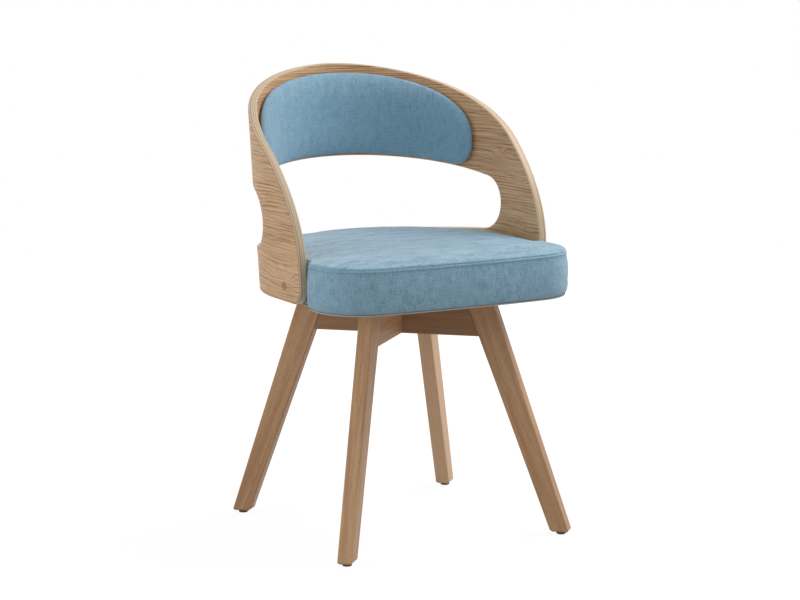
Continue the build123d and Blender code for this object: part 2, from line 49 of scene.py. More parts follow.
# ---- shader helpers ----
def rgb(red, green, blue):
    # screen values from 0 to 255, as a linear colour
    linear = []
    for value in (red, green, blue):
        share = value / 255
        linear.append(share / 12.92 if share <= 0.04045 else ((share + 0.055) / 1.055) ** 2.4)
    return (*linear, 1.0)


class Socket:
    # an output of a node; arithmetic on it adds Math nodes
    def __init__(self, shader, output):
        self.shader = shader
        self.output = output

    def maths(self, operation, *others):
        return self.shader.maths(operation, self, *others)

    def __add__(self, other):
        return self.maths("ADD", other)

    def __radd__(self, other):
        return self.shader.maths("ADD", other, self)

    def __sub__(self, other):
        return self.maths("SUBTRACT", other)

    def __rsub__(self, other):
        return self.shader.maths("SUBTRACT", other, self)

    def __mul__(self, other):
        return self.maths("MULTIPLY", other)

    def __truediv__(self, other):
        return self.maths("DIVIDE", other)

    def __pow__(self, other):
        return self.maths("POWER", other)


class Shader:
    # a material or a world, built from sockets
    def __init__(self, owner, kind="ShaderNodeBsdfPrincipled", end="ShaderNodeOutputMaterial"):
        self.owner = owner
        owner.use_nodes = True
        self.tree = owner.node_tree
        self.tree.nodes.clear()
        self.surface = self.tree.nodes.new(kind)
        self.end = self.tree.nodes.new(end)
        self.tree.links.new(self.surface.outputs[0], self.end.inputs["Surface"])

    def put(self, target, value):
        if isinstance(value, Socket):
            self.tree.links.new(value.output, target)
        else:
            target.default_value = value

    def node(self, kind, settings=None, values=None, output=0):
        made = self.tree.nodes.new(kind)
        for name, setting in (settings or {}).items():
            setattr(made, name, setting)
        for name, value in (values or {}).items():
            self.put(made.inputs[name], value)
        if isinstance(output, tuple):
            return [Socket(self, made.outputs[name]) for name in output]
        return Socket(self, made.outputs[output])

    def maths(self, operation, *values):
        return self.node("ShaderNodeMath", {"operation": operation}, dict(enumerate(values)))

    def place(self):
        # metres in the chair's frame; they turn with the piece
        return self.node("ShaderNodeTexCoord", output="Object")

    def axes(self, vector):
        return self.node("ShaderNodeSeparateXYZ", values={0: vector}, output=("X", "Y", "Z"))

    def point(self, x, y, z):
        return self.node("ShaderNodeCombineXYZ", values={"X": x, "Y": y, "Z": z})

    def dot(self, vector, direction):
        values = {0: vector, 1: tuple(direction)}
        return self.node("ShaderNodeVectorMath", {"operation": "DOT_PRODUCT"}, values, "Value")

    def stretched(self, vector, scales):
        return self.node("ShaderNodeVectorMath", {"operation": "MULTIPLY"}, {0: vector, 1: scales})

    def noise(self, vector, scale=1.0, detail=2.0, roughness=0.5):
        values = {"Vector": vector, "Scale": scale, "Detail": detail, "Roughness": roughness}
        return self.node("ShaderNodeTexNoise", values=values)

    def between(self, value, low, high):
        # 0 at low and 1 at high, smooth between
        return self.node("ShaderNodeMapRange", {"interpolation_type": "SMOOTHSTEP"},
                         {"Value": value, "From Min": low, "From Max": high})

    def mix(self, factor, first, second):
        # the colour sockets of a Mix node are its inputs 6 and 7 and its output 2
        values = {0: factor, 6: first, 7: second}
        return self.node("ShaderNodeMix", {"data_type": "RGBA"}, values, 2)

    def bump(self, height, depth, strength):
        values = {"Height": height, "Distance": depth, "Strength": strength}
        return self.node("ShaderNodeBump", values=values)

    def finish(self, **values):
        for name, value in values.items():
            self.put(self.surface.inputs[name.replace("_", " ")], value)
        return self.owner


def newShader(name):
    return Shader(bpy.data.materials.new(name))


# ---- object helpers ----
def dress(thing, material):
    thing.data.materials.clear()
    thing.data.materials.append(material)


def linked(name, data):
    # a new object, in the scene
    thing = bpy.data.objects.new(name, data)
    bpy.context.scene.collection.objects.link(thing)
    return thing


def meshThing(name, points, faces):
    mesh = bpy.data.meshes.new(name)
    mesh.from_pydata(points, [], faces)
    return linked(name, mesh)


# ---- beech legs and rails ----
beechLook = {
    "pale": rgb(222, 178, 136),
    "warm": rgb(190, 144, 104),
    "fleck": rgb(122, 84, 58),
    # the next two colours are painted light and painted shade: lit and shaded copies of the beech,
    # mixed into single pieces
    "light": rgb(236, 196, 158),
    "shaded": rgb(120, 82, 54),
    "streakLength": 0.16,
    "streakWidth": 0.0032,
    "fleckLength": 0.0065,
    "fleckWidth": 0.0011,
    "sway": 0.006,
    "relief": 0.00015,
    "roughness": 0.44,
    "specular": 0.35,
    "seedStep": 3.7,
}


def grainAxes(thing):
    # the piece's long direction and one square to it
    points = np.array([vertex.co for vertex in thing.data.vertices])
    spread = np.linalg.eigh(np.cov((points - points.mean(0)).T))[1]
    along = Vector(spread[:, 2])
    across = along.cross(Vector((0, 0, 1))).normalized()
    return along, across


def beech(thing, seed, paintedShading):
    look = beechLook
    shader = newShader("beech_" + thing.name)
    place = shader.place()
    along, across = grainAxes(thing)
    a = shader.dot(place, along) + seed
    b = shader.dot(place, across)
    c = shader.dot(place, along.cross(across))
    sway = shader.noise(shader.point(a * 7.0, b * 9.0, c * 9.0), 1.0, 1.0) * look["sway"]
    bent, swung = b + sway, c + sway
    width = look["streakWidth"]
    streaks = shader.point(a / look["streakLength"], bent / width, swung / width)
    streaks = shader.noise(streaks, 1.0, 3.0, 0.62)
    broad = shader.noise(shader.point(a * 4.0, bent * 55.0, swung * 55.0), 1.0, 2.0)
    pores = shader.noise(shader.point(a * 90.0, b * 1500.0, c * 1500.0), 1.0, 2.0)
    width = look["fleckWidth"]
    flecks = shader.noise(shader.point(a / look["fleckLength"], b / width, c / width), 1.0, 0.0)
    flecks = shader.between(flecks, 0.70, 0.78)
    rays = shader.noise(shader.point(a * 260.0, b * 420.0, c * 420.0), 1.0, 1.0)
    tone = shader.between(streaks * 0.5 + broad * 0.5, 0.36, 0.66)
    wood = shader.mix(tone, look["warm"], look["pale"])
    wood = shader.mix(shader.between(pores, 0.45, 0.75) * 0.25, wood, look["warm"])
    wood = shader.mix(shader.between(rays, 0.60, 0.72) * 0.18, wood, look["fleck"])
    wood = shader.mix(flecks * 0.4, wood, look["fleck"])
    # painted light for values above 0 and painted shade for values below 0: the wood is mixed towards
    # the lit beech colour above 0 and towards the shaded one below 0
    wood = shader.mix(abs(paintedShading), wood, look["light"] if paintedShading > 0 else look["shaded"])
    normal = shader.bump(pores * 0.5 + streaks * 0.4 - flecks * 0.5, look["relief"], 0.5)
    return shader.finish(Base_Color=wood, Roughness=look["roughness"] + pores * 0.1, Normal=normal,
                         Specular_IOR_Level=look["specular"])


# ---- bent plywood shell ----
shell = {
    "innerRadius": 0.2142,
    "thickness": 0.015,
    "foot": 0.407,
    "sideSlope": math.tan(math.radians(1.78)),
    "shift": math.tan(math.radians(4.0)) - math.tan(math.radians(1.78)),
    "centreY": 0.001 + swivelY,
}
shellLook = {
    "pale": rgb(232, 194, 149),
    "dark": rgb(154, 98, 58),
    "plyPale": rgb(238, 216, 184),
    "plyDark": rgb(200, 166, 128),
    "glue": rgb(134, 98, 64),
    "ringSpacing": 0.0048,
    "ovalRings": 11.0,
    "waveRings": 1.3,
    "jitterRings": 0.8,
    "latewoodShare": 0.60,
    "streakShare": 0.44,
    "poreShare": 0.16,
    "cloudShare": 0.10,
    "relief": 0.00018,
    "roughness": 0.46,
    "specular": 0.35,
    "veneer": 0.04,
    "plyWobble": 0.035,
    # place through the thickness, strength
    "glueLines": ((0.05, 0.3), (0.25, 0.25), (0.46, 0.65), (0.75, 1.0), (0.955, 0.8)),
    # along the sheet, height, half length, half height, rings, whether on the outer face
    "figures": ((0.372, 0.6135, 0.072, 0.014, 9.0, False),
                (-0.380, 0.448, 0.036, 0.020, 4.5, True)),
}


def veneeredPlywood():
    look = shellLook
    shader = newShader("veneeredPlywood")
    x, y, z = shader.axes(shader.place())
    rise = z - shell["foot"]
    radius = rise * shell["sideSlope"] + shell["innerRadius"]
    behind = y - (rise * shell["shift"] + shell["centreY"])
    back = behind.maths("MAXIMUM", 0.0)
    side = x.maths("ABSOLUTE")
    depth = ((side * side + back * back) ** 0.5 - radius) / shell["thickness"]
    along = (side.maths("ARCTAN2", back) * radius + (back - behind)) * x.maths("SIGN")
    outer = shader.between(depth, 0.45, 0.55)

    # flat-sawn veneer: level rings, each with its own darkness, bent by slow noise into waves;
    # two figures are added at their own places
    ovals = shader.noise(shader.point(along * 1.5 + outer * 7.3, z * 12.0, 0.0), 1.0, 1.0)
    waves = shader.noise(shader.point(along * 13.0 + outer * 3.0, z * 22.0, 4.0), 1.0, 1.0)
    jitter = shader.noise(shader.point(along * 50.0, z * 240.0, outer * 5.0), 1.0, 2.0)
    rings = z / look["ringSpacing"] + ovals * look["ovalRings"]
    rings = rings + waves * look["waveRings"] + jitter * look["jitterRings"]
    for at, level, length, height, turns, outside in look["figures"]:
        far = (along - at) / length
        high = (z - level) / height
        near = (far * far + high * high + 1.0) ** -2.0
        rings = rings + near * (outer if outside else 1.0 - outer) * turns
    phase = rings.maths("FRACT")
    latewood = shader.between(phase, 0.30, 0.86) - shader.between(phase, 0.89, 1.0)
    ringNumber = rings - phase
    strength = shader.noise(shader.point(along * 6.0, ringNumber * 1.7, 9.0 + outer), 1.0, 1.0)
    streaks = shader.noise(shader.point(along * 9.0, z * 360.0, 6.0 + outer), 1.0, 3.0, 0.6)
    pores = shader.noise(shader.point(along * 120.0, z * 1700.0, outer * 2.0), 1.0, 2.0)
    pores = shader.between(pores, 0.52, 0.72)
    cloud = shader.noise(shader.point(along * 5.0, z * 20.0, 2.0), 1.0, 1.0)
    tone = latewood * shader.between(strength, 0.26, 0.68) * look["latewoodShare"]
    tone = tone + shader.between(streaks, 0.38, 0.64) * look["streakShare"]
    tone = tone + pores * look["poreShare"] + shader.between(cloud, 0.35, 0.7) * look["cloudShare"]
    face = shader.mix(tone, look["pale"], look["dark"])

    # cut edge: plies of unlike tone between dark glue lines
    wobble = look["plyWobble"]
    layer = depth + shader.noise(shader.point(along * 45.0, z * 45.0, 1.0), 1.0, 1.0) * wobble
    glue = 0.0
    for place, strong in look["glueLines"]:
        gap = (layer - (place + wobble / 2)).maths("ABSOLUTE")
        glue = (1.0 - shader.between(gap, 0.015, 0.055)) * strong + glue
    bands = shader.between(layer.maths("PINGPONG", 0.23), 0.06, 0.16)
    endGrain = shader.noise(shader.point(along * 300.0, z * 300.0, depth * 9.0), 1.0, 2.0)
    edge = shader.mix(bands * 0.45 + endGrain * 0.35, look["plyPale"], look["plyDark"])
    edge = shader.mix(glue * 0.8, edge, look["glue"])
    low, high = look["veneer"] * 0.7, look["veneer"] * 1.3
    cut = shader.between(depth, low, high) * shader.between(1.0 - depth, low, high)
    relief = (1.0 - cut) * (1.0 - pores * 0.8 - latewood * 0.25)
    relief = relief + cut * (endGrain * 0.6 - glue * 0.4)
    return shader.finish(Base_Color=shader.mix(cut, face, edge),
                         Roughness=look["roughness"] + pores * 0.1 + cut * 0.1,
                         Normal=shader.bump(relief, look["relief"], 0.5),
                         Specular_IOR_Level=look["specular"], Coat_Weight=cut * 0.4, Coat_Roughness=0.3)


# ---- upholstery cloth ----
clothLook = {
    "pale": rgb(188, 217, 233),
    "middle": rgb(155, 193, 213),
    "deep": rgb(110, 152, 178),
    "paintedPadShade": rgb(100, 152, 182),
    "thread": 0.0008,
    "slub": 0.014,
    "streakLength": 0.05,
    "pileLength": 0.010,
    "brushWidth": 0.0030,
    "heather": 420.0,
    "cloud": 60.0,
    "bendRadius": 0.22,
    "relief": 0.0006,
}


def upholstery(name, wrapped):
    look = clothLook
    shader = newShader(name)
    x, y, z = shader.axes(shader.place())
    if wrapped:
        # round the bend of the shell
        across = x.maths("ARCTAN2", y - swivelY) * look["bendRadius"]
    else:
        # round the plan
        across = (x.maths("ABSOLUTE") + y + cushion["front"]) * x.maths("SIGN")
    pitch = look["thread"]
    yarn, slub = pitch * 1.3, look["slub"]
    warp = shader.noise(shader.point(across / yarn, z / slub, y * 9.0), 1.0, 2.0, 0.6)
    weft = shader.noise(shader.point(across / slub, z / yarn, y * 9.0), 1.0, 2.0, 0.6)
    fine, coarse = look["heather"], look["cloud"]
    heather = shader.noise(shader.point(x * fine, y * fine, z * fine), 1.0, 3.0, 0.7)
    cloud = shader.noise(shader.point(x * coarse, y * coarse, z * coarse), 1.0, 2.0)
    tone = warp * 0.34 + weft * 0.26 + heather * 0.28 + cloud * 0.12
    if not wrapped:
        # the seat's top is brushed crossways
        facing = shader.axes(shader.node("ShaderNodeNewGeometry", output="Normal"))[2]
        top = shader.between(facing, 0.5, 0.9)
        rows = y / look["brushWidth"]
        streak = shader.noise(shader.point(x / look["streakLength"], rows, 3.0), 1.0, 3.0, 0.6)
        pile = shader.noise(shader.point(x / look["pileLength"], rows, 8.0), 1.0, 3.0, 0.65)
        patch = shader.noise(shader.point(x * 22.0, y * 60.0, 5.0), 1.0, 2.0)
        brushed = streak * 0.22 + pile * 0.46 + patch * 0.42 + heather * 0.50 - 0.30
        tone = tone + (brushed - tone) * top
    colour = shader.mix(shader.between(tone, 0.36, 0.54), look["deep"], look["middle"])
    colour = shader.mix(shader.between(tone, 0.50, 0.74), colour, look["pale"])
    if wrapped:
        # painted shade: the pad's cloth is mixed towards a deeper blue throughout, and more below its
        # crown than at its top, as if lit from above
        colour = shader.mix(0.32 - shader.between(z, 0.69, 0.74) * 0.24, colour, look["paintedPadShade"])
    turns = math.pi / pitch
    weave = (across * turns).maths("SINE") * (z * turns).maths("SINE")
    relief = weave * 0.2 + heather * 0.5 + warp * 0.6 + weft * 0.3
    return shader.finish(Base_Color=colour, Roughness=0.94,
                         Normal=shader.bump(relief, look["relief"], 0.5), Sheen_Weight=0.6,
                         Sheen_Roughness=0.5, Sheen_Tint=rgb(232, 238, 242), Specular_IOR_Level=0.15)


def stitchThread():
    shader = newShader("stitchThread")
    ply = shader.noise(shader.stretched(shader.place(), (1500.0, 1500.0, 3000.0)), 1.0, 2.0)
    colour = shader.mix(ply, rgb(132, 164, 186), rgb(196, 218, 232))
    return shader.finish(Base_Color=colour, Roughness=0.7, Normal=shader.bump(ply, 0.0002, 0.5))


# ---- metal, plastic and hidden wood ----
def zincSteel():
    shader = newShader("zincSteel")
    place = shader.place()
    crystals = shader.noise(place, 260.0, 3.0, 0.7)
    drawn = shader.noise(shader.stretched(place, (900.0, 40.0, 900.0)), 1.0, 2.0)
    colour = shader.mix(crystals, rgb(166, 168, 172), rgb(200, 202, 206))
    return shader.finish(Base_Color=colour, Metallic=1.0, Roughness=0.28 + drawn * 0.16,
                         Normal=shader.bump(drawn, 0.00005, 0.4))


def ballSteel():
    shader = newShader("ballSteel")
    haze = shader.noise(shader.place(), 900.0, 2.0)
    return shader.finish(Base_Color=rgb(214, 215, 218), Metallic=1.0,
                         Roughness=0.06 + haze * 0.08)


def blackPlastic():
    shader = newShader("blackPlastic")
    grain = shader.noise(shader.place(), 1400.0, 3.0)
    scuffs = shader.noise(shader.place(), 120.0, 3.0)
    colour = shader.mix(scuffs, rgb(20, 20, 21), rgb(40, 40, 42))
    return shader.finish(Base_Color=colour, Roughness=0.42 + grain * 0.18,
                         Normal=shader.bump(grain, 0.0001, 0.4))


def satinBrass():
    shader = newShader("satinBrass")
    lines = shader.noise(shader.place(), 1200.0, 2.0)
    tarnish = shader.between(shader.noise(shader.place(), 160.0, 3.0), 0.35, 0.7)
    colour = shader.mix(tarnish, rgb(168, 126, 62), rgb(112, 80, 36))
    return shader.finish(Base_Color=colour, Metallic=0.7, Roughness=0.38 + lines * 0.15,
                         Normal=shader.bump(lines, 0.00004, 0.3))


def palePanel():
    shader = newShader("palePanel")
    felt = shader.noise(shader.place(), 700.0, 4.0, 0.75)
    blotch = shader.noise(shader.place(), 30.0, 2.0)
    colour = shader.mix(felt * 0.7 + blotch * 0.3, rgb(172, 168, 160), rgb(204, 200, 192))
    return shader.finish(Base_Color=colour, Roughness=0.9, Normal=shader.bump(felt, 0.0003, 0.5))


def rawPlywood():
    shader = newShader("rawPlywood")
    x, y, z = shader.axes(shader.place())
    grain = shader.noise(shader.point(x * 14.0, y * 420.0, z * 420.0), 1.0, 3.0, 0.6)
    broad = shader.noise(shader.point(x * 4.0, y * 30.0, z * 30.0), 1.0, 2.0)
    plies = shader.between((z / 0.0015).maths("PINGPONG", 1.0), 0.4, 0.6)
    colour = shader.mix(grain * 0.6 + broad * 0.4, rgb(196, 166, 124), rgb(224, 200, 160))
    colour = shader.mix(plies * 0.12, colour, rgb(150, 118, 80))
    return shader.finish(Base_Color=colour, Roughness=0.65, Normal=shader.bump(grain, 0.0002, 0.5))


finishes = [
    (blackPlastic(), ["glides", "ball_cage", "pad_clips"]),
    (zincSteel(), ["glide_nails", "lower_plate", "lower_plate_screws", "upper_plate", "pivot_rivet",
                   "upper_plate_bolts", "tee_nuts", "cleat_screws", "shell_bolts", "insert_nuts"]),
    (ballSteel(), ["balls"]),
    (satinBrass(), ["bolt_caps"]),
    (palePanel(), ["underside_panel"]),
    (rawPlywood(), ["seat_board", "cleat_right", "cleat_left", "cleat_rear_right", "cleat_rear_left",
                    "back_pad_board"]),
    (veneeredPlywood(), ["bent_shell"]),
]
for material, names in finishes:
    for name in names:
        dress(nodes[name], material)
# painted light and painted shade on each beech piece: how far it is lit lighter (above 0) or shaded
# darker (below 0) than the common tone; the upper rail's darkening is painted shade from the seat above
# it, the rear right leg's lightening painted light
beechPaintedShading = {
    "leg_front_left": 0.0,
    "leg_front_right": -0.1,
    "leg_rear_right": 0.75,
    "leg_rear_left": -0.1,
    "rail_lower": 0.0,
    "rail_upper": -0.52,
    "rail_dowels": 0.0,
}
for seed, (name, paintedShading) in enumerate(beechPaintedShading.items()):
    dress(nodes[name], beech(nodes[name], seed * beechLook["seedStep"], paintedShading))
print("finishes on", sum(len(names) for material, names in finishes) + len(beechPaintedShading), "nodes")


# ---- padded forms ----
def evenly(line, count):
    # a closed line as count points the same length apart, and its whole length
    closed = np.vstack([line, line[:1]])
    lengths = np.concatenate([[0.0], np.cumsum(np.linalg.norm(np.diff(closed, axis=0), axis=1))])
    steps = np.arange(count) * lengths[-1] / count
    return np.column_stack([np.interp(steps, lengths, closed[:, k]) for k in range(2)]), lengths[-1]


def drawnIn(line, inset):
    # the line moved towards its inside; it runs anticlockwise
    ahead = np.roll(line, -1, axis=0) - line
    ahead /= np.linalg.norm(ahead, axis=1)[:, None]
    mean = ahead + np.roll(ahead, 1, axis=0)
    mean /= np.linalg.norm(mean, axis=1)[:, None]
    return line + np.column_stack([-mean[:, 1], mean[:, 0]]) * inset


def distanceTo(line, points):
    start = line[None]
    step = (np.roll(line, -1, axis=0) - line)[None]
    apart = points[:, None] - start
    share = np.clip((apart * step).sum(2) / (step ** 2).sum(2), 0, 1)[:, :, None]
    return np.linalg.norm(apart - share * step, axis=2).min(1)


def patchInside(ring, wide):
    # a grid that fills a ring, wide cells across, and the index in the ring of each edge point
    relaxRounds, relaxShare = 60, 0.8
    count = len(ring)
    tall = count // 2 - wide
    first = -(wide // 2)
    at = [(first + k) % count for k in range(count)]
    low = ring[at[:wide + 1]]
    right = ring[at[wide:wide + tall + 1]]
    high = ring[at[wide + tall:2 * wide + tall + 1]][::-1]
    left = ring[at[2 * wide + tall:] + at[:1]][::-1]
    u = np.linspace(0, 1, wide + 1)[:, None, None]
    v = np.linspace(0, 1, tall + 1)[None, :, None]
    grid = (1 - v) * low[:, None] + v * high[:, None] + (1 - u) * left[None] + u * right[None]
    corners = (1 - u) * (1 - v) * low[0] + u * (1 - v) * low[-1]
    grid -= corners + (1 - u) * v * high[0] + u * v * high[-1]
    for step in range(relaxRounds):
        middle = (grid[2:, 1:-1] + grid[:-2, 1:-1] + grid[1:-1, 2:] + grid[1:-1, :-2]) / 4
        grid[1:-1, 1:-1] += (middle - grid[1:-1, 1:-1]) * relaxShare
    edge = {}
    for k in range(wide):
        edge[(k, 0)] = at[k]
        edge[(wide - k, tall)] = at[wide + tall + k]
    for k in range(tall):
        edge[(wide, k)] = at[wide + k]
        edge[(0, tall - k)] = at[2 * wide + tall + k]
    return grid, edge


def paddedMesh(name, rings, crownAt, footAt, wide, mapped):
    # rings from the foot to the last ring of the crown, with a grid of quads across each end
    count = len(rings[0][0])
    points = [mapped(flat, level) for flat, level in rings]
    faces = []
    for row in range(len(rings) - 1):
        for k in range(count):
            here, after = row * count + k, row * count + (k + 1) % count
            faces.append((here, after, after + count, here + count))
    total = len(rings) * count
    for row, levelAt in ((len(rings) - 1, crownAt), (0, footAt)):
        grid, edge = patchInside(rings[row][0], wide)
        number = {place: row * count + k for place, k in edge.items()}
        inner = []
        for i in range(1, grid.shape[0] - 1):
            for j in range(1, grid.shape[1] - 1):
                number[(i, j)] = total + len(inner)
                inner.append(grid[i, j])
        total += len(inner)
        inner = np.array(inner)
        points.append(mapped(inner, levelAt(inner)))
        for i in range(grid.shape[0] - 1):
            for j in range(grid.shape[1] - 1):
                corners = ((i, j), (i + 1, j), (i + 1, j + 1), (i, j + 1))
                quad = [number[corner] for corner in corners]
                faces.append(quad if row else quad[::-1])
    return meshThing(name, np.vstack(points).tolist(), faces)


def verticesOf(thing):
    flat = np.zeros(len(thing.data.vertices) * 3)
    thing.data.vertices.foreach_get("co", flat)
    return flat.reshape(-1, 3)


def setVertices(thing, points):
    thing.data.vertices.foreach_set("co", points.astype(np.float32).ravel())
    thing.data.update()


airedCloth = {
    "quality": 6,
    "pressure": 4.0,
    "tension": 12.0,
    "bending": 1.5,
    "mass": 0.25,
    "frames": 20,
}


def inflate(thing, free, shrink, cap):
    # cloth under air pressure, held where free is 0; each point's move is then kept below cap
    look = airedCloth
    scene = bpy.context.scene
    rest = verticesOf(thing)
    held = thing.vertex_groups.new(name="held")
    for index, share in enumerate(free):
        if share < 1:
            held.add([index], 1 - share, "REPLACE")
    cloth = thing.modifiers.new("cloth", "CLOTH")
    cloth.settings.quality = look["quality"]
    cloth.settings.mass = look["mass"]
    cloth.settings.tension_stiffness = look["tension"]
    cloth.settings.compression_stiffness = look["tension"]
    cloth.settings.bending_stiffness = look["bending"]
    cloth.settings.shrink_min = shrink
    cloth.settings.use_pressure = True
    cloth.settings.uniform_pressure_force = look["pressure"]
    cloth.settings.vertex_group_mass = "held"
    cloth.settings.effector_weights.gravity = 0
    cloth.point_cache.frame_start = 1
    cloth.point_cache.frame_end = look["frames"]
    for step in range(1, look["frames"] + 1):
        scene.frame_set(step)
    solved = thing.evaluated_get(bpy.context.evaluated_depsgraph_get())
    moved = verticesOf(solved) - rest
    thing.modifiers.remove(cloth)
    thing.vertex_groups.clear()
    scene.frame_set(1)
    # the small addend keeps a point that didn't move from dividing by 0
    length = np.linalg.norm(moved, axis=1)[:, None] + 1e-9
    setVertices(thing, rest + moved * np.tanh(length / cap) * cap / length)
    largest = round(float(length.max()) * 1000, 2)
    print(thing.name, "inflated by up to", largest, "mm, kept below", cap * 1000, "mm")


def smoothed(thing):
    # one level of subdivision, applied
    rounding = thing.modifiers.new("rounding", "SUBSURF")
    rounding.levels = 1
    rounding.render_levels = 1
    solved = thing.evaluated_get(bpy.context.evaluated_depsgraph_get())
    mesh = bpy.data.meshes.new_from_object(solved)
    thing.modifiers.clear()
    thing.data = mesh
    mesh.shade_smooth()


def settle(thing, body, material):
    dress(thing, material)
    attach(thing, body)


# ---- seat cushion ----
cushion = {
    "halfWidth": 0.227,
    "rearHalfWidth": 0.2134,
    "front": 0.242,
    "bow": 0.0116,
    "cornerRadius": 0.0856,
    "shoulderRadius": 0.025,
    "shoulderY": -0.1291,
    "bendY": 0.001,
    "foot": 0.4060,
    "seam": 0.4763,
    "crown": 0.0100,
    "crownReach": 0.10,
    "crownFullness": 2.0,
    "rearFullness": 1.45,
    "rearEnd": 78.0,
    "rearFade": 26.0,
    "columns": 240,
    "gridWide": 60,
    "arcPoints": 60,
    "sidePoints": 20,
    "seamInset": 0.0034,
    "rollEnd": 0.0076,
    "topFrom": 0.002,
    "heldNear": 0.006,
    "heldFade": 0.012,
    "topHeld": 0.007,
    "wideFade": 0.02,
    "armsFrom": -0.13,
    "shrink": -0.012,
    "cap": 0.0022,
    "stitchPitch": 0.0033,
    "stitchLength": 0.0023,
    "stitchWidth": 0.0007,
    "stitchDrop": 0.0045,
    "stitchInset": 0.0021,
}


def seatPlan():
    # plan of the cushion from the middle of its front, anticlockwise, as dense points
    c = cushion
    flareX = c["halfWidth"] - c["shoulderRadius"]
    bowRadius = (c["halfWidth"] ** 2 + c["bow"] ** 2) / (2 * c["bow"])
    bowY = bowRadius - c["front"]
    cornerX = c["halfWidth"] - c["cornerRadius"]
    cornerY = bowY - math.sqrt((bowRadius - c["cornerRadius"]) ** 2 - cornerX ** 2)
    turn = math.atan2(cornerY - bowY, cornerX)
    flareTurn = math.acos((c["rearHalfWidth"] - flareX) / c["shoulderRadius"])

    def arc(x, y, radius, start, stop):
        angles = np.linspace(start, stop, c["arcPoints"])[:-1]
        return np.column_stack([x + radius * np.cos(angles), y + radius * np.sin(angles)])

    flareEnd = c["shoulderY"] + c["shoulderRadius"] * math.sin(flareTurn)
    sideY = np.linspace(flareEnd, c["bendY"], c["sidePoints"] + 1)[:-1]
    side = np.column_stack([np.full(c["sidePoints"], c["rearHalfWidth"]), sideY])
    right = np.vstack([
        arc(0.0, bowY, bowRadius, -math.pi / 2, turn),
        arc(cornerX, cornerY, c["cornerRadius"], turn, 0.0),
        arc(flareX, c["shoulderY"], c["shoulderRadius"], 0.0, flareTurn),
        side,
        arc(0.0, c["bendY"], c["rearHalfWidth"], 0.0, math.pi / 2)])
    back = np.array([[0.0, c["bendY"] + c["rearHalfWidth"]]])
    whole = np.vstack([right, back, right[1:][::-1] * (-1, 1)])
    return whole + (0.0, swivelY)


def seatCover():
    c = cushion
    plan, length = evenly(seatPlan(), c["columns"])
    seam, foot = c["seam"], c["foot"]
    # (drawn in, height): foot, band, topstitched ridge and seam
    band = [
        (0.0120, foot), (0.0062, foot), (0.0046, foot + 0.0006), (0.0027, foot + 0.0022),
        (0.0010, foot + 0.0055), (0.0002, foot + 0.0100), (0.0, foot + 0.0160), (0.0, foot + 0.0225),
        (0.0, foot + 0.0290), (0.0001, foot + 0.0350), (0.0003, foot + 0.0410),
        (0.0006, foot + 0.0470), (0.0010, foot + 0.0530), (0.0014, seam - 0.0125),
        (0.0018, seam - 0.0085), (0.0022, seam - 0.0062), (0.0028, seam - 0.0045),
        (0.0020, seam - 0.0034), (0.0018, seam - 0.0020), (0.0022, seam - 0.0008),
        (0.0036, seam - 0.0001), (0.0040, seam + 0.0003)]
    # first roll of the top: drawn in, rise at the front and sides, rise at the rear
    roll = [(0.0034, 0.0012, 0.0006), (0.0037, 0.0023, 0.0010), (0.0050, 0.0036, 0.0015),
            (0.0074, 0.0047, 0.0021), (0.0110, 0.0056, 0.0029)]

    def atRear(points):
        turn = np.degrees(np.arctan2(np.abs(points[:, 0]), points[:, 1] - swivelY))
        share = np.clip((c["rearEnd"] - turn) / c["rearFade"], 0, 1)
        return share ** 2 * (3 - 2 * share)

    def dome(into, fullness):
        share = 1 - np.clip(into / c["crownReach"], 0, 1)
        return c["crown"] * (1 - share ** fullness) ** (1 / fullness)

    rings = [(drawnIn(plan, inset), np.full(len(plan), level)) for inset, level in band]
    for inset, full, low in roll:
        line = drawnIn(plan, inset)
        rings.append((line, seam + full + (low - full) * atRear(line)))
    seamLine = drawnIn(plan, c["seamInset"])

    def crownAt(points):
        into = distanceTo(seamLine, points)
        levels = []
        ends = ((c["crownFullness"], roll[-1][1]), (c["rearFullness"], roll[-1][2]))
        for fullness, first in ends:
            start = dome(c["rollEnd"], fullness)
            left = c["crown"] - first
            levels.append(first + (dome(into, fullness) - start) * left / (c["crown"] - start))
        return seam + levels[0] + (levels[1] - levels[0]) * atRear(points)

    def footAt(points):
        return np.full(len(points), foot)

    def mapped(flat, level):
        return np.column_stack([flat, level])

    cover = paddedMesh("seat_cushion_cover", rings, crownAt, footAt, c["gridWide"], mapped)
    points = verticesOf(cover)
    height, y = points[:, 2], points[:, 1]

    def eased(beyond, fade):
        return np.clip(beyond / fade, 0, 1)

    # the top is free inside its seam, the band between its seams and in front of the arms
    onTop = height > seam + c["topFrom"]
    inTop = eased(distanceTo(plan, points[:, :2]) - c["topHeld"], c["wideFade"])
    inBand = eased(np.abs(height - seam) - c["heldNear"], c["heldFade"])
    inBand = inBand * eased(height - foot - c["heldNear"], c["heldFade"])
    inBand = inBand * eased(c["armsFrom"] - y, c["wideFade"])
    free = np.where(onTop, inTop, inBand)
    inflate(cover, free, c["shrink"], c["cap"])
    smoothed(cover)
    return cover, plan, length


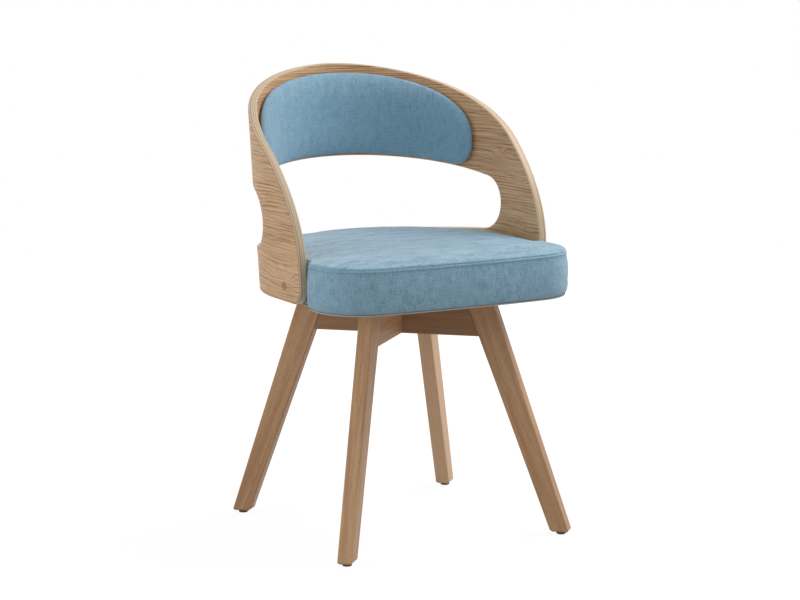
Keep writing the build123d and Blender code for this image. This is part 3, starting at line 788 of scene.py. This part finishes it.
def topstitch(plan, length):
    # short rounded threads in a row below the seam
    c = cushion
    count = round(length / c["stitchPitch"])
    spots = evenly(drawnIn(plan, c["stitchInset"]), count)[0]
    ahead = np.roll(spots, -1, axis=0) - np.roll(spots, 1, axis=0)
    ahead /= np.linalg.norm(ahead, axis=1)[:, None]
    out = np.column_stack([ahead[:, 1], -ahead[:, 0]])
    sides, slices = 6, 5
    points, faces = [], []
    for k in range(count):
        base = len(points)
        for j in range(slices):
            along = math.cos(math.pi * (j + 0.5) / slices)
            thick = math.sqrt(1 - along ** 2) * c["stitchWidth"] / 2
            for i in range(sides):
                angle = 2 * math.pi * i / sides
                flat = spots[k] + ahead[k] * along * c["stitchLength"] / 2
                flat = flat + out[k] * thick * math.cos(angle)
                level = c["seam"] - c["stitchDrop"] + thick * math.sin(angle)
                points.append((flat[0], flat[1], level))
        for j in range(slices - 1):
            for i in range(sides):
                a, b = base + j * sides + i, base + j * sides + (i + 1) % sides
                faces.append((a, b, b + sides, a + sides))
        faces.append(tuple(base + i for i in reversed(range(sides))))
        faces.append(tuple(base + (slices - 1) * sides + i for i in range(sides)))
    thing = meshThing("seat_topstitch", points, faces)
    thing.data.shade_smooth()
    return thing


seatCushionCover, plan, planLength = seatCover()
settle(seatCushionCover, "seat", upholstery("seatCloth", False))
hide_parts("seat_cushion")
seatTopstitch = topstitch(plan, planLength)
settle(seatTopstitch, "seat", stitchThread())
print("seat cushion upholstered")


# ---- back pad ----
pad = {
    "halfLength": 0.2578,
    "widest": 0.641,
    "rise": 0.110,
    "endRadius": 0.042,
    "aboveWindow": 0.0042,
    "rear": -0.0047,
    "thickness": 0.0155,
    "edgeReach": 0.055,
    "edgeFullness": 2.6,
    "edgeStart": 0.0008,
    "tuck": 0.0002,
    "columns": 216,
    "gridWide": 92,
    "edgePoints": 160,
    "heldRows": 4,
    "fadeRows": 6,
    "shrink": -0.006,
    "cap": 0.0005,
    "sheetRadius": 0.21908,
    "windowHead": 0.60611,
    "windowBow": 2.604,
}


def padOutline():
    # the pad's edge on the unrolled shell, from the middle of its lower edge, anticlockwise
    p = pad
    along = p["halfLength"] * np.sin(np.linspace(0, math.pi / 2, p["edgePoints"]))
    window = p["windowHead"] - along ** 2 / p["windowBow"]
    into = np.clip(along - (p["halfLength"] - p["endRadius"]), 0, p["endRadius"])
    low = window + p["aboveWindow"] + p["endRadius"] - np.sqrt(p["endRadius"] ** 2 - into ** 2)
    high = p["widest"] + p["rise"] * np.sqrt(1 - (along / p["halfLength"]) ** 2)
    right = np.vstack([np.column_stack([along, low]), np.column_stack([along, high])[::-1]])
    return np.vstack([right, right[1:-1][::-1] * (-1, 1)])


def onShell(flat, outward):
    # a point of the unrolled shell, at its place on the bent one
    rise = flat[:, 1] - shell["foot"]
    radius = shell["innerRadius"] + rise * shell["sideSlope"] + outward
    centre = shell["centreY"] + rise * shell["shift"]
    turn = flat[:, 0] / pad["sheetRadius"]
    return np.column_stack([radius * np.sin(turn), centre + radius * np.cos(turn), flat[:, 1]])


def padCover():
    p = pad
    outline = evenly(padOutline(), p["columns"])[0]
    count = len(outline)

    def domeAt(into):
        share = 1 - np.clip(into / p["edgeReach"], 0, 1)
        fullness = p["edgeFullness"]
        return p["rear"] - p["thickness"] * (1 - share ** fullness) ** (1 / fullness)

    def frontAt(points):
        return domeAt(distanceTo(outline, points) + p["edgeStart"])

    def rearAt(points):
        return np.full(len(points), p["rear"] + p["tuck"])

    # rear face and edge, then the roll of the front: drawn in, outwards from the shell's face
    edge = [(0.0040, p["rear"] + p["tuck"]), (0.0012, p["rear"]), (0.0001, p["rear"] - 0.0016)]
    rings = [(drawnIn(outline, inset), np.full(count, outward)) for inset, outward in edge]
    for inset in (0.0005, 0.0013, 0.0026, 0.0046, 0.0075, 0.0110):
        rings.append((drawnIn(outline, inset), domeAt(np.full(count, inset + p["edgeStart"]))))
    cover = paddedMesh("back_pad_cover", rings, frontAt, rearAt, p["gridWide"], onShell)

    # the front's grid comes after the rings and is free; the rear's comes last and is held
    total = len(cover.data.vertices)
    ringed = len(rings) * count
    free = np.zeros(total)
    for row in range(len(rings)):
        free[row * count:(row + 1) * count] = max(0.0, (row - p["heldRows"]) / p["fadeRows"])
    free[ringed:ringed + (total - ringed) // 2] = 1.0
    inflate(cover, free, p["shrink"], p["cap"])
    smoothed(cover)
    return cover


backPadCover = padCover()
settle(backPadCover, "seat", upholstery("padCloth", True))
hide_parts("back_pad")
print("back pad upholstered")


# ---- studio ----
studio = {
    "ambient": 0.48,
    "floorRadius": 3.2,
    "floorSides": 96,
    "floorDrop": 0.0003,
    "floorGlow": 1.15,
    "fadeFrom": 0.55,
    "fadeTo": 1.3,
    "floorColour": rgb(238, 238, 238),
    "floorBounce": rgb(168, 168, 166),
    "shadowShare": 0.22,
}
lamps = [
    # name, place, aim, width, height, watts
    ("topSoftbox", (1.4, -0.2, 2.0), (0.0, 0.0, 0.5), 1.4, 1.4, 27.0),
    ("leftSoftbox", (-2.2, 0.3, 0.8), (0.0, 0.0, 0.5), 1.2, 1.3, 11.0),
    ("lowSoftbox", (1.3, -1.8, 0.25), (0.0, 0.0, 0.2), 1.4, 0.4, 2.4),
]


def softbox(name, place, aim, width, height, watts):
    light = bpy.data.lights.new(name, "AREA")
    light.shape = "RECTANGLE"
    light.size = width
    light.size_y = height
    light.energy = watts
    lamp = linked(name, light)
    lamp.location = place
    lamp.rotation_euler = (Vector(aim) - Vector(place)).to_track_quat("-Z", "Y").to_euler()
    lamp.visible_camera = False


for lamp in lamps:
    softbox(*lamp)


def seenDirectly(shader):
    rays = ("Is Camera Ray", "Is Glossy Ray", "Is Transmission Ray")
    camera, glossy, through = shader.node("ShaderNodeLightPath", output=rays)
    return camera.maths("MAXIMUM", glossy).maths("MAXIMUM", through)


def studioWorld():
    world = bpy.data.worlds.new("studio")
    bpy.context.scene.world = world
    shader = Shader(world, "ShaderNodeMixShader", "ShaderNodeOutputWorld")
    soft = {"Color": rgb(252, 253, 255), "Strength": studio["ambient"]}
    soft = shader.node("ShaderNodeBackground", values=soft)
    white = shader.node("ShaderNodeBackground", values={"Color": (1, 1, 1, 1), "Strength": 1.0})
    shader.put(shader.surface.inputs[0], seenDirectly(shader))
    shader.put(shader.surface.inputs[1], soft)
    shader.put(shader.surface.inputs[2], white)


def floorMaterial():
    shader = Shader(bpy.data.materials.new("studioFloor"), "ShaderNodeMixShader")
    x, y = shader.axes(shader.place())[:2]
    fade = shader.between((x * x + y * y) ** 0.5, studio["fadeFrom"], studio["fadeTo"])
    seen = seenDirectly(shader)
    tone = shader.mix(seen, studio["floorBounce"], studio["floorColour"])
    paper = shader.node("ShaderNodeBsdfDiffuse", values={"Color": tone})
    white = {"Color": (1, 1, 1, 1), "Strength": studio["floorGlow"]}
    white = shader.node("ShaderNodeEmission", values=white)
    share = seen * (fade * studio["shadowShare"] + (1 - studio["shadowShare"]))
    shader.put(shader.surface.inputs[0], share)
    shader.put(shader.surface.inputs[1], paper)
    shader.put(shader.surface.inputs[2], white)
    return shader.owner


def studioFloor():
    sides = studio["floorSides"]
    reach = studio["floorRadius"]
    turns = [2 * math.pi * k / sides for k in range(sides)]
    rim = [(reach * math.cos(t), reach * math.sin(t), -studio["floorDrop"]) for t in turns]
    floor = meshThing("studio_floor", rim, [range(sides)])
    dress(floor, floorMaterial())


studioWorld()
studioFloor()
bpy.context.scene.view_settings.view_transform = "Standard"
print("studio lit")


# ---- camera ----
view = {
    "azimuth": -27.89,
    "elevation": 9.405,
    "roll": -0.52,
    "distance": 4.1762,
    "aimRight": 0.0015115,
    "aimUp": 0.37873,
    "lens": 110.257,
    "sensor": 36.0,
}


def placeCamera():
    azimuth, elevation, roll = (math.radians(view[name]) for name in ("azimuth", "elevation", "roll"))
    flat = math.cos(elevation)
    back = Vector((math.sin(azimuth) * flat, -math.cos(azimuth) * flat, math.sin(elevation)))
    level = Vector((math.cos(azimuth), math.sin(azimuth), 0.0))
    upright = back.cross(level)
    right = level * math.cos(roll) + upright * math.sin(roll)
    up = upright * math.cos(roll) - level * math.sin(roll)
    camera = linked("camera", bpy.data.cameras.new("camera"))
    camera.data.sensor_width = view["sensor"]
    camera.data.lens = view["lens"]
    place = back * view["distance"] + right * view["aimRight"] + up * view["aimUp"]
    place = place + Vector((0, swivelY, 0))
    turned = Matrix((right, up, back)).transposed().to_4x4()
    camera.matrix_world = Matrix.Translation(place) @ turned
    bpy.context.scene.camera = camera


placeCamera()
